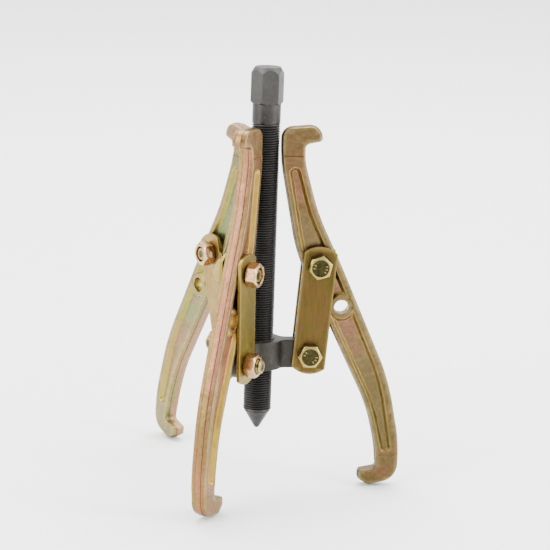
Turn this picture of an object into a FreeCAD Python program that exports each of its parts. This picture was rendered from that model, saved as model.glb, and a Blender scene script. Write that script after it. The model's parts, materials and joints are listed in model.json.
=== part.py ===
import FreeCAD
import Part

import math
import os

# Three-jaw puller, reversible jaws on pairs of strap links.
# Millimetres. +Z is up along the forcing screw, the origin is the tip of its point.
# Every arm is drawn in its own radial plane: x outward, y along the bolts, z up,
# then turned about Z to its bearing. Bolt heads are on the -y side, nuts on +y.

# ---------------------------------------------------------------- arms
ARM_NAMES = ("a", "b", "c")
ARM_BEARING = {"a": -115.4, "b": 4.6, "c": 124.6}    # degrees about Z
LINK_TILT = {"a": 2.05, "b": 4.35, "c": 16.7}        # link leans outward, degrees
JAW_TURN = {"a": -4.2, "b": 0.0, "c": 6.0}           # lower hook swung outward, degrees

# ---------------------------------------------------------------- forcing screw
SCREW_R = 11.70
THREAD_PITCH = 2.0
THREAD_DEPTH = 1.20
THREAD_CREST = 0.30
THREAD_ROOT = 0.35
HEAD_TOP_Z = 305.0
HEAD_HEIGHT = 30.1
HEAD_ACROSS_FLATS = 24.0
HEAD_VERTEX_BEARING = 12.0
HEAD_TOP_R = 10.35
HEAD_CONE_HEIGHT = 5.5
HEAD_UNDER_CONE = 2.0
SHANK_LENGTH = 14.8
POINT_TIP_R = 2.6
POINT_HALF_ANGLE = 30.5
POINT_SHOULDER_R = 11.45
SPIGOT_R = 5.0
SPIGOT_LENGTH = 15.0
SPIGOT_CHAMFER = 0.5
SPIGOT_END_GAP = 0.5
RUNNING_GAP = 0.05
SEAM_GAP = 0.30
SCREW_END_CHAMFER = 0.2

# ---------------------------------------------------------------- yoke
YOKE_Z = 66.1               # middle of the yoke above the tip of the point
LUG_PIVOT_R = 41.7
LUG_END_R = 12.0
YOKE_HEIGHT = 24.0
HUB_R = 19.5
HUB_BLEND_R = 6.0
YOKE_BORE_R = SCREW_R + 0.08
YOKE_BORE_CHAMFER = 1.0

# ---------------------------------------------------------------- links and bolts
ARM_THICKNESS = 13.0
SIDE_GAP = 0.30
PLATE_THICKNESS = 3.0
PLATE_WIDTH = 28.0
PLATE_END_R = 20.6
PLATE_END = 16.5
LINK_LENGTH = 76.0
BOLT_R = 6.0
HOLE_R = 6.08
BOLT_ACROSS_FLATS = 18.0
BOLT_HEAD_HEIGHT = 7.5
NUT_HEIGHT = 10.0
NUT_BORE_R = 6.02
HEX_TOP_R = 7.9
HEX_CONE_ANGLE = 30.0
UPPER_BOLT_REACH = -1.0     # end of the thread against the face of its nut
LOWER_BOLT_REACH = 3.5      # how far it stands out of its nut
BOLT_END_CHAMFER = 1.2
NUT_MOUTH_CHAMFER = 0.8
# how far each hexagon happens to be turned on its bolt, degrees
UPPER_HEAD_TURN = {"a": 12.0, "b": 8.5, "c": 25.0}
LOWER_HEAD_TURN = {"a": 40.0, "b": 27.0, "c": 8.0}
UPPER_NUT_TURN = {"a": 48.0, "b": 21.0, "c": 2.0}
LOWER_NUT_TURN = {"a": 35.0, "b": 52.0, "c": 13.0}

# ---------------------------------------------------------------- jaws
PARTING_PROUD = 1.2         # the faces lie this far inside the parting line
TIP_PROUD = 1.9             # the same at the two hook tips
PAD_STEP = 0.30
PAD_TOP_Z = 91.0
PAD_BOTTOM_Z = -163.8
FREE_HOLE = (19.8, -35.4)
BOSS_R = 9.8
POCKET_DEPTH = 3.2
POCKET_SLOPE = 1.8          # how far the pocket wall leans in over its depth
HOLE_CHAMFER = 0.6
SMALLEST_CORNER_R = 0.3

# Parting-line outline of a jaw about its upper bolt, clockwise seen from the
# heads: x, z, corner radius, inset of the face behind the edge that follows.
JAW_OUTLINE = (
    (-35.0, 114.2, 10.0, PARTING_PROUD),     # over the top
    (0.0, 117.3, 10.4, TIP_PROUD),           # end of the upper hook
    (-0.8, 103.6, 1.9, 0.0),                 # seat of the upper hook
    (-14.4, 100.7, 5.0, PARTING_PROUD),      # outer edge, downward
    (-14.4, 86.0, 58.0, PARTING_PROUD),
    (-1.8, 42.5, 180.0, PARTING_PROUD),
    (19.8, -2.0, 400.0, PARTING_PROUD),
    (63.0, -98.5, 200.0, PARTING_PROUD),
    (73.9, -152.9, 150.0, PARTING_PROUD),
    (73.9, -185.5, 16.0, PARTING_PROUD),     # heel and underside
    (48.2, -191.4, 4.5, PARTING_PROUD),
    (39.2, -185.4, 4.0, TIP_PROUD),          # end of the lower hook
    (39.2, -178.5, 1.8, 0.0),                # seat of the lower hook
    (54.3, -175.6, 3.0, PARTING_PROUD),      # inner edge, upward
    (52.1, -153.4, 150.0, PARTING_PROUD),
    (44.2, -121.3, 150.0, PARTING_PROUD),
    (-19.6, 9.2, 140.0, PARTING_PROUD),
    (-35.0, 87.7, 150.0, PARTING_PROUD),
)

LOWER_SEAT_CORNERS = (12, 13)
UPPER_SEAT_CORNERS = (2, 3)
SEAT_CUT = 0.05             # both seats are dressed flat by this much
PAD_BOTTOM_X = -20.0        # the lower pad starts beyond the inner edge, here

# ---------------------------------------------------------------- cutting tools
PAST = 1.0                  # how far a tool or a joined solid runs past a face
PAD_TOOL_SIZE = 200.0
PAD_TOOL_DEPTH = 5.0
SEAT_TOOL_HEIGHT = 4.0
SEAT_TOOL_PAST_TIP = 4.0
SEAT_TOOL_PAST_FACE = 2.0
BARREL_CLEARANCE = 0.1      # the barrel that chamfers a hexagon clears its corners

# Mouth of the pockets in each side: x, z, corner radius, clockwise.
POCKET_OUTLINE = (
    (-28.4, 81.5, 4.3),
    (-19.2, 81.5, 4.3),
    (-7.5, 41.5, 150.0),
    (18.0, -12.0, 300.0),
    (56.5, -99.5, 180.0),
    (67.4, -161.0, 4.0),
    (58.6, -161.0, 4.0),
    (48.1, -118.4, 150.0),
    (-14.1, 8.9, 140.0),
)

X_AXIS = FreeCAD.Vector(1, 0, 0)
Y_AXIS = FreeCAD.Vector(0, 1, 0)
Z_AXIS = FreeCAD.Vector(0, 0, 1)
ORIGIN = FreeCAD.Vector(0, 0, 0)
HALF = ARM_THICKNESS / 2.0
PLATE_INNER = HALF + SIDE_GAP
PLATE_OUTER = PLATE_INNER + PLATE_THICKNESS


# ---------------------------------------------------------------- outlines
def unit(ax, az, bx, bz):
    length = math.hypot(bx - ax, bz - az)
    return (bx - ax) / length, (bz - az) / length


def inset_corners(corners, insets):
    """Shift each edge of a clockwise polygon inward and meet the edges again."""
    count = len(corners)
    lines = []
    for index in range(count):
        ax, az = corners[index][:2]
        bx, bz = corners[(index + 1) % count][:2]
        dx, dz = unit(ax, az, bx, bz)
        shift = insets[index]
        lines.append((ax + dz * shift, az - dx * shift, dx, dz))
    moved = []
    for index in range(count):
        px, pz, pdx, pdz = lines[index - 1]
        qx, qz, qdx, qdz = lines[index]
        cross = pdx * qdz - pdz * qdx
        reach = ((qx - px) * qdz - (qz - pz) * qdx) / cross
        mean = (insets[index - 1] + insets[index]) / 2.0
        radius = corners[index][2] + (mean if cross > 0 else -mean)
        moved.append((px + pdx * reach, pz + pdz * reach, max(radius, SMALLEST_CORNER_R)))
    return moved


def rounded_wire(corners, y):
    """Closed wire of lines and tangent arcs in the plane at this y."""
    count = len(corners)
    starts, mids, ends = [], [], []
    for index in range(count):
        ax, az = corners[index - 1][:2]
        bx, bz, radius = corners[index]
        cx, cz = corners[(index + 1) % count][:2]
        ix, iz = unit(bx, bz, ax, az)
        ox, oz = unit(bx, bz, cx, cz)
        half_angle = math.acos(max(-1.0, min(1.0, ix * ox + iz * oz))) / 2.0
        trim = radius / math.tan(half_angle)
        mx, mz = unit(0, 0, ix + ox, iz + oz)
        depth = radius / math.sin(half_angle) - radius
        starts.append(FreeCAD.Vector(bx + ix * trim, y, bz + iz * trim))
        mids.append(FreeCAD.Vector(bx + mx * depth, y, bz + mz * depth))
        ends.append(FreeCAD.Vector(bx + ox * trim, y, bz + oz * trim))
    edges = []
    for index in range(count):
        edges.append(Part.Arc(starts[index], mids[index], ends[index]).toShape())
        following = starts[(index + 1) % count]
        edges.append(Part.LineSegment(ends[index], following).toShape())
    return Part.Wire(edges)


def cylinder_y(radius, y0, y1, x=0.0, z=0.0):
    return Part.makeCylinder(radius, y1 - y0, FreeCAD.Vector(x, y0, z), Y_AXIS)


def cone_y(r0, r1, y0, y1, x=0.0, z=0.0):
    return Part.makeCone(r0, r1, y1 - y0, FreeCAD.Vector(x, y0, z), Y_AXIS)


def hexagon_wire(across_flats, phase_deg, height=0.0):
    corner_r = across_flats / math.sqrt(3.0)
    points = []
    for step in range(7):
        angle = math.radians(phase_deg + 60.0 * step)
        points.append(FreeCAD.Vector(corner_r * math.cos(angle), corner_r * math.sin(angle), height))
    return Part.makePolygon(points)


def revolved(points):
    """Solid of revolution about Z from a list of (radius, z)."""
    vectors = [FreeCAD.Vector(r, 0, z) for r, z in points]
    face = Part.Face(Part.makePolygon(vectors + [vectors[0]]))
    return face.revolve(ORIGIN, Z_AXIS, 360)


# ---------------------------------------------------------------- forcing screw
def make_forcing_screw():
    """Screw with its hexagon; the threads are ridges at their pitch, bored below for the point."""
    head_bottom = HEAD_TOP_Z - HEAD_HEIGHT
    thread_top = head_bottom - SHANK_LENGTH
    thread_bottom = point_shoulder_z() + SEAM_GAP
    root_r = SCREW_R - THREAD_DEPTH
    flank = (THREAD_PITCH - THREAD_CREST - THREAD_ROOT) / 2.0

    profile = [(0.0, head_bottom + PAST), (SCREW_R, head_bottom + PAST), (SCREW_R, thread_top)]
    turns = int((thread_top - thread_bottom - THREAD_CREST) / THREAD_PITCH)
    z = thread_top
    for _ in range(turns):
        profile.append((root_r, z - flank))
        profile.append((root_r, z - flank - THREAD_ROOT))
        profile.append((SCREW_R, z - 2.0 * flank - THREAD_ROOT))
        z -= THREAD_PITCH
        profile.append((SCREW_R, z))
    profile.append((SCREW_R, thread_bottom + SCREW_END_CHAMFER))
    profile.append((SCREW_R - SCREW_END_CHAMFER, thread_bottom))
    profile.append((0.0, thread_bottom))
    threaded = revolved(profile)

    hexagon = Part.Face(hexagon_wire(HEAD_ACROSS_FLATS, HEAD_VERTEX_BEARING, head_bottom))
    head = hexagon.extrude(Z_AXIS * HEAD_HEIGHT)
    barrel_r = HEAD_ACROSS_FLATS / math.sqrt(3.0) + BARREL_CLEARANCE
    barrel = revolved([
        (0.0, head_bottom),
        (barrel_r - HEAD_UNDER_CONE, head_bottom),
        (barrel_r, head_bottom + HEAD_UNDER_CONE),
        (barrel_r, HEAD_TOP_Z - HEAD_CONE_HEIGHT),
        (HEAD_TOP_R, HEAD_TOP_Z),
        (0.0, HEAD_TOP_Z),
    ])
    screw = threaded.fuse(head.common(barrel))

    bore_depth = SPIGOT_LENGTH + SPIGOT_END_GAP
    bore = Part.makeCylinder(SPIGOT_R + RUNNING_GAP, bore_depth, FreeCAD.Vector(0, 0, thread_bottom))
    return screw.cut(bore)


def point_shoulder_z():
    """Height at which the cone, rounded at the tip, reaches its full radius."""
    slope = math.radians(POINT_HALF_ANGLE)
    apex_z = POINT_TIP_R - POINT_TIP_R / math.sin(slope)
    return apex_z + POINT_SHOULDER_R / math.tan(slope)


def make_screw_point():
    """Hardened cone that turns freely in the end of the screw."""
    slope = math.radians(POINT_HALF_ANGLE)
    middle_angle = (math.pi / 2.0 + slope) / 2.0
    shoulder_z = point_shoulder_z()
    spigot_top = shoulder_z + SPIGOT_LENGTH
    tip = ORIGIN
    middle = FreeCAD.Vector(
        POINT_TIP_R * math.cos(middle_angle), 0, POINT_TIP_R - POINT_TIP_R * math.sin(middle_angle))
    touch = FreeCAD.Vector(
        POINT_TIP_R * math.cos(slope), 0, POINT_TIP_R - POINT_TIP_R * math.sin(slope))
    shoulder = FreeCAD.Vector(POINT_SHOULDER_R, 0, shoulder_z)
    neck = FreeCAD.Vector(SPIGOT_R, 0, shoulder_z)
    edge = FreeCAD.Vector(SPIGOT_R, 0, spigot_top - SPIGOT_CHAMFER)
    rim = FreeCAD.Vector(SPIGOT_R - SPIGOT_CHAMFER, 0, spigot_top)
    centre = FreeCAD.Vector(0, 0, spigot_top)
    wire = Part.Wire([
        Part.Arc(tip, middle, touch).toShape(),
        Part.LineSegment(touch, shoulder).toShape(),
        Part.LineSegment(shoulder, neck).toShape(),
        Part.LineSegment(neck, edge).toShape(),
        Part.LineSegment(edge, rim).toShape(),
        Part.LineSegment(rim, centre).toShape(),
        Part.LineSegment(centre, tip).toShape(),
    ])
    return Part.Face(wire).revolve(ORIGIN, Z_AXIS, 360)


# ---------------------------------------------------------------- yoke
def make_yoke():
    """Hub with three lugs; its bore takes the crests of the thread."""
    half_height = YOKE_HEIGHT / 2.0
    bottom = FreeCAD.Vector(0, 0, -half_height)
    hub = Part.makeCylinder(HUB_R, YOKE_HEIGHT, bottom)
    # a blend either side of each arm, tangent to the hub and to the arm
    blend_y = HALF + HUB_BLEND_R
    blend_x = math.sqrt((HUB_R + HUB_BLEND_R) ** 2 - blend_y ** 2)
    inner_x = HUB_R * blend_x / (HUB_R + HUB_BLEND_R)
    inner_y = HUB_R * blend_y / (HUB_R + HUB_BLEND_R)
    web = Part.makePolygon([
        FreeCAD.Vector(0, -inner_y, -half_height),
        FreeCAD.Vector(inner_x, -inner_y, -half_height),
        FreeCAD.Vector(blend_x, -blend_y, -half_height),
        FreeCAD.Vector(blend_x, blend_y, -half_height),
        FreeCAD.Vector(inner_x, inner_y, -half_height),
        FreeCAD.Vector(0, inner_y, -half_height),
        FreeCAD.Vector(0, -inner_y, -half_height),
    ])
    web = Part.Face(web).extrude(Z_AXIS * YOKE_HEIGHT)
    for side in (-1.0, 1.0):
        centre = FreeCAD.Vector(blend_x, side * blend_y, -half_height)
        web = web.cut(Part.makeCylinder(HUB_BLEND_R, YOKE_HEIGHT, centre))
    lug = Part.makeBox(LUG_PIVOT_R, ARM_THICKNESS, YOKE_HEIGHT, FreeCAD.Vector(0, -HALF, -half_height))
    lug = lug.fuse(cylinder_y(LUG_END_R, -HALF, HALF, LUG_PIVOT_R))
    arm = web.fuse(lug)

    body = hub
    for name in ARM_NAMES:
        turned = arm.copy()
        turned.rotate(ORIGIN, Z_AXIS, ARM_BEARING[name])
        body = body.fuse(turned)
    body = body.removeSplitter()

    body = body.cut(Part.makeCylinder(YOKE_BORE_R, YOKE_HEIGHT, bottom))
    wide_r = YOKE_BORE_R + YOKE_BORE_CHAMFER
    for face_z, inward in ((half_height, Z_AXIS * -1), (-half_height, Z_AXIS)):
        centre = FreeCAD.Vector(0, 0, face_z)
        body = body.cut(Part.makeCone(wide_r, YOKE_BORE_R, YOKE_BORE_CHAMFER, centre, inward))
    for name in ARM_NAMES:
        hole = cylinder_y(HOLE_R, -HALF, HALF, LUG_PIVOT_R)
        hole.rotate(ORIGIN, Z_AXIS, ARM_BEARING[name])
        body = body.cut(hole)
    body.translate(Z_AXIS * YOKE_Z)
    return body


# ---------------------------------------------------------------- links
def make_plate(inner_y):
    """Strap link about its lower hole, standing along z."""
    chord = PLATE_WIDTH / 2.0
    rise = PLATE_END_R - math.sqrt(PLATE_END_R ** 2 - chord ** 2)
    low = -PLATE_END + rise
    high = LINK_LENGTH + PLATE_END - rise
    corners = [
        FreeCAD.Vector(-chord, inner_y, low),
        FreeCAD.Vector(-chord, inner_y, high),
        FreeCAD.Vector(chord, inner_y, high),
        FreeCAD.Vector(chord, inner_y, low),
    ]
    crown = FreeCAD.Vector(0, inner_y, LINK_LENGTH + PLATE_END)
    foot = FreeCAD.Vector(0, inner_y, -PLATE_END)
    wire = Part.Wire([
        Part.LineSegment(corners[0], corners[1]).toShape(),
        Part.Arc(corners[1], crown, corners[2]).toShape(),
        Part.LineSegment(corners[2], corners[3]).toShape(),
        Part.Arc(corners[3], foot, corners[0]).toShape(),
    ])
    plate = Part.Face(wire).extrude(Y_AXIS * PLATE_THICKNESS)
    for z in (0.0, LINK_LENGTH):
        plate = plate.cut(cylinder_y(HOLE_R, inner_y, inner_y + PLATE_THICKNESS, 0.0, z))
    return plate


def hex_prism_y(phase_deg, y0, y1, cones):
    """Hexagon along y; cones lists the ends (y0 or y1) that carry a chamfer."""
    prism = Part.Face(hexagon_wire(BOLT_ACROSS_FLATS, phase_deg)).extrude(Z_AXIS * (y1 - y0))
    corner_r = BOLT_ACROSS_FLATS / math.sqrt(3.0) + BARREL_CLEARANCE
    drop = (corner_r - HEX_TOP_R) * math.tan(math.radians(HEX_CONE_ANGLE))
    length = y1 - y0
    profile = [(0.0, 0.0)]
    if y0 in cones:
        profile += [(HEX_TOP_R, 0.0), (corner_r, drop)]
    else:
        profile += [(corner_r, 0.0)]
    if y1 in cones:
        profile += [(corner_r, length - drop), (HEX_TOP_R, length)]
    else:
        profile += [(corner_r, length)]
    profile.append((0.0, length))
    prism = prism.common(revolved(profile))
    # lay the z axis of the prism along +y, its x axis up along z
    prism.rotate(ORIGIN, Z_AXIS, -90)
    prism.rotate(ORIGIN, X_AXIS, -90)
    prism.rotate(ORIGIN, Y_AXIS, 180)
    prism.translate(FreeCAD.Vector(0, y0, 0))
    return prism


def make_bolt(phase_deg, under_head, end_y):
    head = hex_prism_y(phase_deg, under_head - BOLT_HEAD_HEIGHT, under_head, (under_head - BOLT_HEAD_HEIGHT,))
    shank = cylinder_y(BOLT_R, under_head, end_y - BOLT_END_CHAMFER)
    end = cone_y(BOLT_R, BOLT_R - BOLT_END_CHAMFER, end_y - BOLT_END_CHAMFER, end_y)
    return head.fuse(shank).fuse(end).removeSplitter()


def make_nut(phase_deg, seat_y):
    nut = hex_prism_y(phase_deg, seat_y, seat_y + NUT_HEIGHT, (seat_y, seat_y + NUT_HEIGHT))
    end_y = seat_y + NUT_HEIGHT
    nut = nut.cut(cylinder_y(NUT_BORE_R, seat_y, end_y))
    mouth = cone_y(NUT_BORE_R, NUT_BORE_R + NUT_MOUTH_CHAMFER, end_y - NUT_MOUTH_CHAMFER, end_y)
    return nut.cut(mouth)


# ---------------------------------------------------------------- jaw
def make_pocket_tool():
    """Cutter for the pockets of the nut side, leaving the two bosses."""
    spread = PAST * POCKET_SLOPE / POCKET_DEPTH
    wide = inset_corners(POCKET_OUTLINE, [-spread] * len(POCKET_OUTLINE))
    floor = inset_corners(POCKET_OUTLINE, [POCKET_SLOPE] * len(POCKET_OUTLINE))
    tool = Part.makeLoft(
        [rounded_wire(floor, HALF - POCKET_DEPTH), rounded_wire(wide, HALF + PAST)], True, True)
    for x, z in ((0.0, 0.0), FREE_HOLE):
        boss = cone_y(
            BOSS_R + POCKET_SLOPE, BOSS_R - spread, HALF - POCKET_DEPTH, HALF + PAST, x, z)
        tool = tool.cut(boss)
    return tool


def seat_cutter(tip_corner, root_corner):
    """Block whose lower face dresses a hook seat flat, from its tip to its root fillet."""
    ax, az = JAW_OUTLINE[tip_corner][:2]
    bx, bz, root_r = JAW_OUTLINE[root_corner][:3]
    cx, cz = JAW_OUTLINE[(root_corner + 1) % len(JAW_OUTLINE)][:2]
    dx, dz = unit(ax, az, bx, bz)
    ex, ez = unit(bx, bz, cx, cz)
    fillet = root_r * math.tan(math.acos(dx * ex + dz * ez) / 2.0)
    length = math.hypot(bx - ax, bz - az) - fillet + SEAT_TOOL_PAST_TIP
    width = ARM_THICKNESS + 2.0 * SEAT_TOOL_PAST_FACE
    corner = FreeCAD.Vector(-SEAT_TOOL_PAST_TIP, -width / 2.0, -SEAT_CUT)
    block = Part.makeBox(length, width, SEAT_TOOL_HEIGHT, corner)
    block.rotate(ORIGIN, Y_AXIS, -math.degrees(math.atan2(dz, dx)))
    block.translate(FreeCAD.Vector(ax, 0, az))
    return block


def make_jaw():
    """Forged jaw about its upper bolt hole."""
    face_corners = inset_corners(
        [corner[:3] for corner in JAW_OUTLINE], [corner[3] for corner in JAW_OUTLINE])
    parting_corners = [corner[:3] for corner in JAW_OUTLINE]
    parting = rounded_wire(parting_corners, 0.0)
    upper = Part.makeLoft([parting, rounded_wire(face_corners, HALF)], True, True)
    lower = Part.makeLoft([rounded_wire(face_corners, -HALF), parting], True, True)
    jaw = upper.fuse(lower)

    tool = make_pocket_tool()
    mirrored = tool.mirror(ORIGIN, Y_AXIS)
    jaw = jaw.cut(tool).cut(mirrored)

    size = PAD_TOOL_SIZE
    for y in (HALF - PAD_STEP, -HALF + PAD_STEP - PAD_TOOL_DEPTH):
        over = FreeCAD.Vector(-size / 2.0, y, PAD_TOP_Z)
        under = FreeCAD.Vector(PAD_BOTTOM_X, y, PAD_BOTTOM_Z - size)
        jaw = jaw.cut(Part.makeBox(size, PAD_TOOL_DEPTH, size, over))
        jaw = jaw.cut(Part.makeBox(size, PAD_TOOL_DEPTH, size, under))

    jaw = jaw.cut(seat_cutter(*LOWER_SEAT_CORNERS)).cut(seat_cutter(*UPPER_SEAT_CORNERS))
    for x, z in ((0.0, 0.0), FREE_HOLE):
        jaw = jaw.cut(cylinder_y(HOLE_R, -HALF - PAST, HALF + PAST, x, z))
        wide_r = HOLE_R + HOLE_CHAMFER
        jaw = jaw.cut(cone_y(wide_r, HOLE_R, -HALF, -HALF + HOLE_CHAMFER, x, z))
        jaw = jaw.cut(cone_y(HOLE_R, wide_r, HALF - HOLE_CHAMFER, HALF, x, z))
    return jaw


# ---------------------------------------------------------------- assembly
def put_on_link(shape, name, along=0.0):
    """Place a shape drawn about a link hole: along the link, tilt, lug, bearing."""
    placed = shape.copy()
    placed.translate(FreeCAD.Vector(0, 0, along))
    placed.rotate(ORIGIN, Y_AXIS, LINK_TILT[name])
    placed.translate(FreeCAD.Vector(LUG_PIVOT_R, 0, YOKE_Z))
    placed.rotate(ORIGIN, Z_AXIS, ARM_BEARING[name])
    return placed


def put_jaw(shape, name):
    tilt = math.radians(LINK_TILT[name])
    pivot_r = LUG_PIVOT_R + LINK_LENGTH * math.sin(tilt)
    pivot_z = YOKE_Z + LINK_LENGTH * math.cos(tilt)
    placed = shape.copy()
    placed.rotate(ORIGIN, Y_AXIS, -JAW_TURN[name])
    placed.translate(FreeCAD.Vector(pivot_r, 0, pivot_z))
    placed.rotate(ORIGIN, Z_AXIS, ARM_BEARING[name])
    return placed


def build():
    nodes = {
        "yoke": make_yoke(),
        "forcing_screw": make_forcing_screw(),
        "screw_point": make_screw_point(),
    }
    jaw = make_jaw()
    head_plate = make_plate(-PLATE_OUTER)
    nut_plate = make_plate(PLATE_INNER)
    upper_seat = PLATE_OUTER + SIDE_GAP
    lower_seat = PLATE_OUTER
    upper_end = upper_seat + NUT_HEIGHT + UPPER_BOLT_REACH
    lower_end = lower_seat + NUT_HEIGHT + LOWER_BOLT_REACH
    for name in ARM_NAMES:
        upper_bolt = make_bolt(UPPER_HEAD_TURN[name], -upper_seat, upper_end)
        lower_bolt = make_bolt(LOWER_HEAD_TURN[name], -lower_seat, lower_end)
        upper_nut = make_nut(UPPER_NUT_TURN[name], upper_seat)
        lower_nut = make_nut(LOWER_NUT_TURN[name], lower_seat)
        nodes["jaw_" + name] = put_jaw(jaw, name)
        nodes["link_" + name + "_head_side"] = put_on_link(head_plate, name)
        nodes["link_" + name + "_nut_side"] = put_on_link(nut_plate, name)
        nodes["upper_bolt_" + name] = put_on_link(upper_bolt, name, LINK_LENGTH)
        nodes["upper_nut_" + name] = put_on_link(upper_nut, name, LINK_LENGTH)
        nodes["lower_bolt_" + name] = put_on_link(lower_bolt, name)
        nodes["lower_nut_" + name] = put_on_link(lower_nut, name)
    return nodes


os.makedirs("parts", exist_ok=True)
for node_name, node_shape in build().items():
    solids = node_shape.Solids
    print(node_name, len(solids), node_shape.isValid(), round(node_shape.Volume, 1))
    solids[0].exportStep("parts/" + node_name + ".step")
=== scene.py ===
import json
import math

import bmesh
import bpy
import numpy as np
from mathutils import Matrix, Vector, geometry


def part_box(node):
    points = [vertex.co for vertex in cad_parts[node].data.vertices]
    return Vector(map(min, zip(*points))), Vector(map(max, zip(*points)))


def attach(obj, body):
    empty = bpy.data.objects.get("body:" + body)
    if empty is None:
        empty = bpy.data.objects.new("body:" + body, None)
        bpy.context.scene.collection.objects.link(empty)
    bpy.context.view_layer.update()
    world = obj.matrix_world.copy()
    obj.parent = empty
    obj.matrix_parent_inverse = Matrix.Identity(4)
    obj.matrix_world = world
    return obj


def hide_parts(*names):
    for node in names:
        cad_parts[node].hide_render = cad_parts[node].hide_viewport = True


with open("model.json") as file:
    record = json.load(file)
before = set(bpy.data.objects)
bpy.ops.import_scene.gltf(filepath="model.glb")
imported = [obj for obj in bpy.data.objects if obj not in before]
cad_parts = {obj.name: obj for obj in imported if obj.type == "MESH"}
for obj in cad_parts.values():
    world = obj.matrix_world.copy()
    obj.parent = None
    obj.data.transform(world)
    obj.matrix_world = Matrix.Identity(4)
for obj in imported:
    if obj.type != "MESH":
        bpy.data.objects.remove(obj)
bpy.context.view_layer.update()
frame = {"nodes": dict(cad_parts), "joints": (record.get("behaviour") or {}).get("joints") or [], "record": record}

# Lengths are in millimetres in the part drawings below and in metres once placed.
MM = 0.001
ARMS = ("a", "b", "c")
JOINTS = {joint["name"]: joint for joint in frame["joints"]}
MOUNTS = {mount["name"]: mount for mount in frame["record"]["mounts"]}


# ---------------------------------------------------------------- materials
class Shader:
    """A node material with short calls for the few nodes the metals use."""

    def __init__(self, name):
        self.material = bpy.data.materials.new(name)
        self.material.use_nodes = True
        self.tree = self.material.node_tree
        self.bsdf = self.tree.nodes["Principled BSDF"]
        self.place = self.tree.nodes.new("ShaderNodeTexCoord").outputs["Object"]

    def link(self, source, socket):
        if isinstance(source, bpy.types.NodeSocket):
            self.tree.links.new(source, socket)
        else:
            socket.default_value = source

    def shifted(self, offset, stretch=(1.0, 1.0, 1.0)):
        node = self.tree.nodes.new("ShaderNodeMapping")
        node.inputs["Location"].default_value = offset
        node.inputs["Scale"].default_value = stretch
        self.link(self.place, node.inputs["Vector"])
        return node.outputs["Vector"]

    def noise(self, scale, detail=3.0, rough=0.5, place=None, distortion=0.0):
        node = self.tree.nodes.new("ShaderNodeTexNoise")
        self.link(place or self.place, node.inputs["Vector"])
        node.inputs["Scale"].default_value = scale
        node.inputs["Detail"].default_value = detail
        node.inputs["Roughness"].default_value = rough
        node.inputs["Distortion"].default_value = distortion
        return node.outputs["Fac"]

    def coordinates(self):
        node = self.tree.nodes.new("ShaderNodeSeparateXYZ")
        self.link(self.place, node.inputs[0])
        return node.outputs

    def lengthwise(self, across, offset, across_scale, length_scale):
        """A place that changes quickly over the thickness of a jaw and slowly along it."""
        x, _, z = self.coordinates()
        terms = (
            (across, across_scale, 5.0 * offset[0]),
            (z, length_scale, 7.0 * offset[1]),
            (x, 0.5 * length_scale, offset[2]),
        )
        node = self.tree.nodes.new("ShaderNodeCombineXYZ")
        for socket, term in zip(node.inputs, terms):
            self.link(self.maths("MULTIPLY_ADD", *term), socket)
        return node.outputs[0]

    def remap(self, value, low, high, to_low=0.0, to_high=1.0):
        node = self.tree.nodes.new("ShaderNodeMapRange")
        node.interpolation_type = "SMOOTHSTEP"
        self.link(value, node.inputs["Value"])
        node.inputs["From Min"].default_value = low
        node.inputs["From Max"].default_value = high
        node.inputs["To Min"].default_value = to_low
        node.inputs["To Max"].default_value = to_high
        return node.outputs["Result"]

    def maths(self, operation, a, b=0.0, c=0.0):
        node = self.tree.nodes.new("ShaderNodeMath")
        node.operation = operation
        self.link(a, node.inputs[0])
        self.link(b, node.inputs[1])
        self.link(c, node.inputs[2])
        return node.outputs[0]

    def mix(self, factor, a, b, blend="MIX"):
        node = self.tree.nodes.new("ShaderNodeMix")
        node.data_type = "RGBA"
        node.blend_type = blend
        self.link(factor, node.inputs[0])
        self.link(a if not isinstance(a, tuple) else (*a, 1.0), node.inputs[6])
        self.link(b if not isinstance(b, tuple) else (*b, 1.0), node.inputs[7])
        return node.outputs[2]

    def attribute(self, name):
        node = self.tree.nodes.new("ShaderNodeAttribute")
        node.attribute_name = name
        return node.outputs["Fac"]

    def bump(self, height, distance, strength=1.0, under=None):
        node = self.tree.nodes.new("ShaderNodeBump")
        node.inputs["Strength"].default_value = strength
        node.inputs["Distance"].default_value = distance
        self.link(height, node.inputs["Height"])
        if under is not None:
            self.link(under, node.inputs["Normal"])
        return node.outputs["Normal"]

    def finish(self, colour, roughness, normal=None, metallic=1.0):
        self.link(colour, self.bsdf.inputs["Base Color"])
        self.link(roughness, self.bsdf.inputs["Roughness"])
        self.link(metallic, self.bsdf.inputs["Metallic"])
        if normal is not None:
            self.link(normal, self.bsdf.inputs["Normal"])
        return self.material


# heights over which each jaw's colour is multiplied by its foot tone, darker or lighter towards the bottom, in
# metres
FOOT_FADE_TOP = 0.10
FOOT_FADE_END = 0.02


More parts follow.
